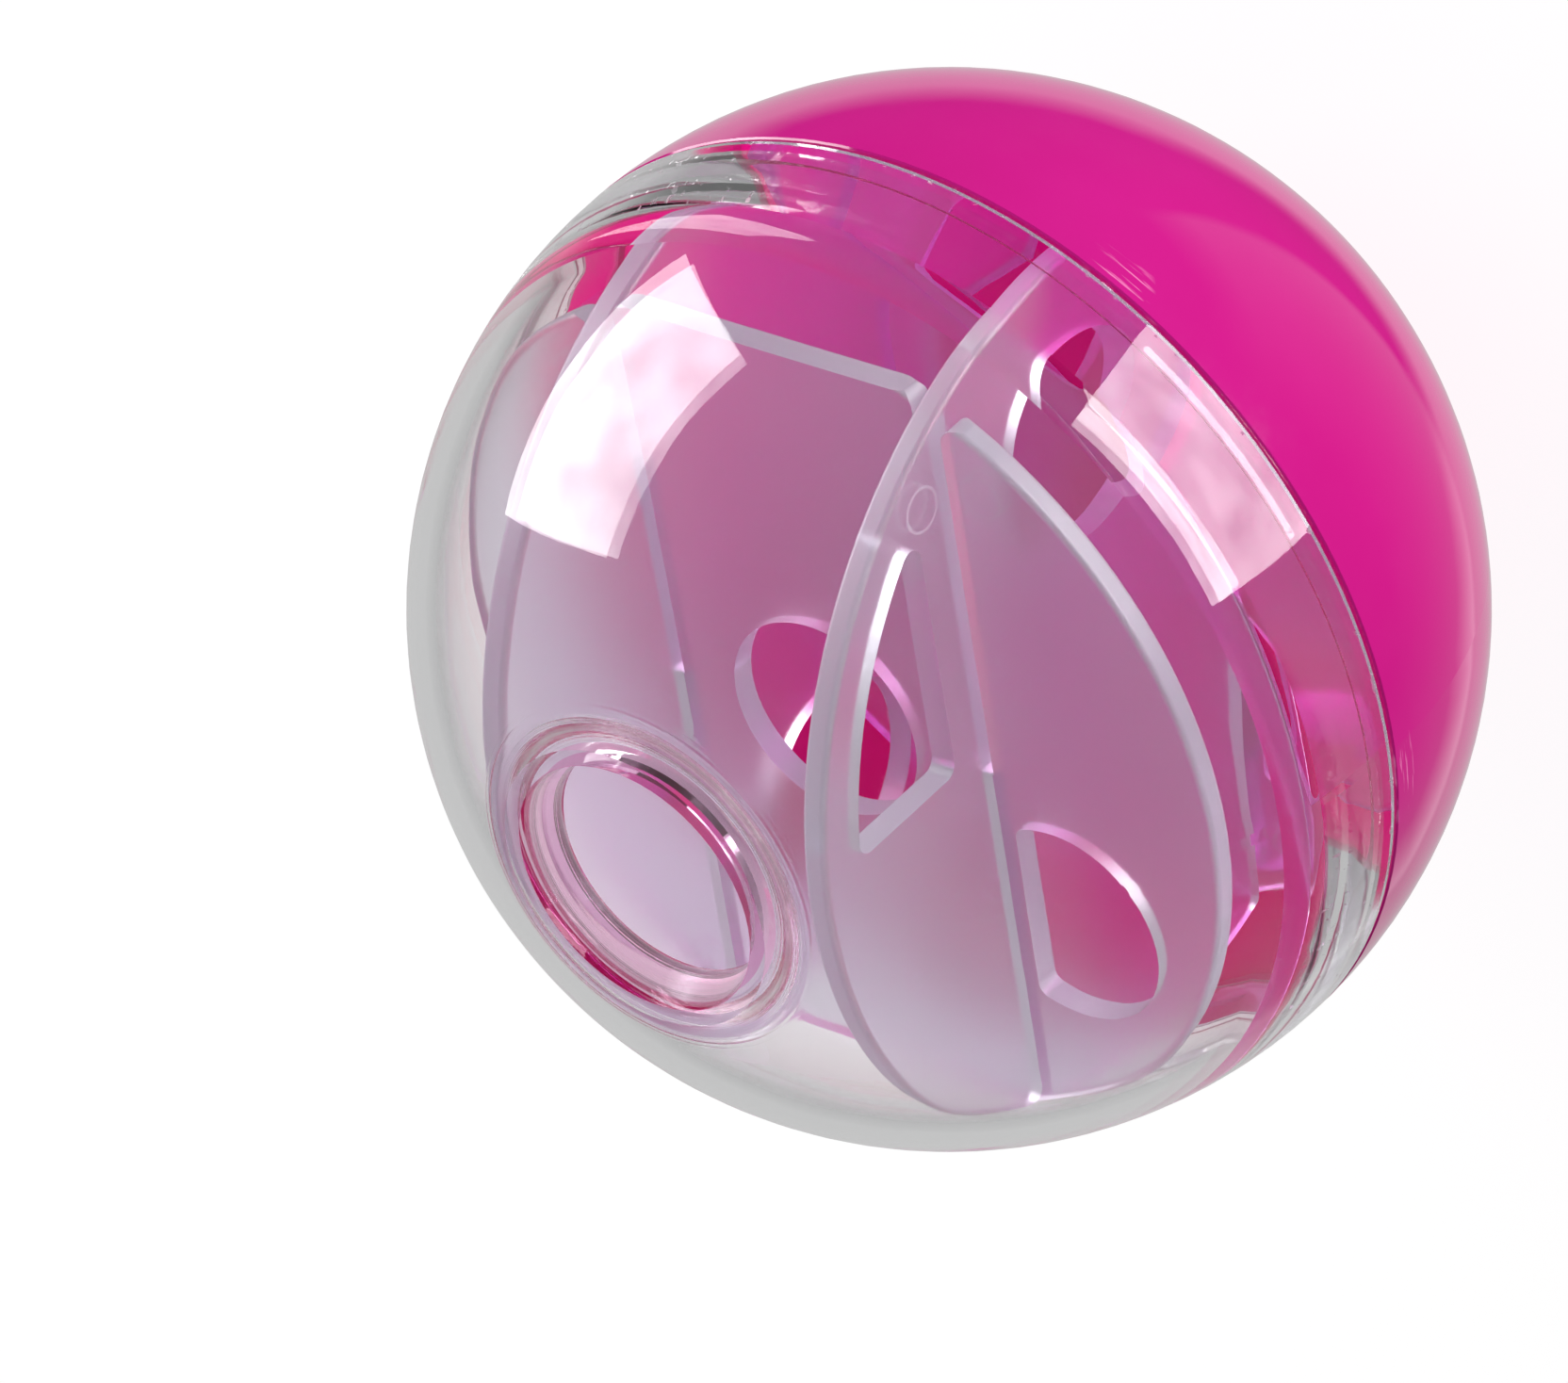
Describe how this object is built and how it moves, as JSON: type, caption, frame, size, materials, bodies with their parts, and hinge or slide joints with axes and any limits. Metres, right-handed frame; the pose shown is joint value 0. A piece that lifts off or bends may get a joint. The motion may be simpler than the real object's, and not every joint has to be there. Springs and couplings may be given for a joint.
{
  "type": "treat dispensing ball",
  "caption": "Hollow ball that opens at its middle: a clear half with a round mouth, a coloured half and slotted baffles inside that slow dry treats on their way out.",
  "frame": {"origin": "the lowest point of the coloured half, on the ball's own axis; the ball's centre is 30 mm above it", "axes": "+Z along the ball's axis towards the mouth, +X square to the two upright baffles, towards the right baffle, +Y along the baffles' slots, towards the open slots of the two cross baffles"},
  "size_m": [0.06, 0.06, 0.0587],
  "materials": {
    "clear_shell": "clear and polished",
    "coloured_shell": "polished, opaque, moulded in",
    "baffle": "frosted, milky and translucent"
  },
  "bodies": {
    "coloured_half": {"coloured_half": "coloured_shell"},
    "insert": {"upper_baffle": "baffle", "lower_baffle": "baffle", "right_baffle": "baffle", "left_baffle": "baffle"},
    "clear_half": {"clear_half": "clear_shell"}
  },
  "joints": [
    {"name": "twist_lock", "type": "hinge", "parent": "coloured_half", "child": "insert", "pos_m": [0, 0, 0.03], "axis": [0, 0, 1], "range_deg": [0, 24]},
    {"name": "lift_off", "type": "slide", "parent": "insert", "child": "clear_half", "axis": [0, 0, 1], "range_m": [0, 0.05]}
  ]
}
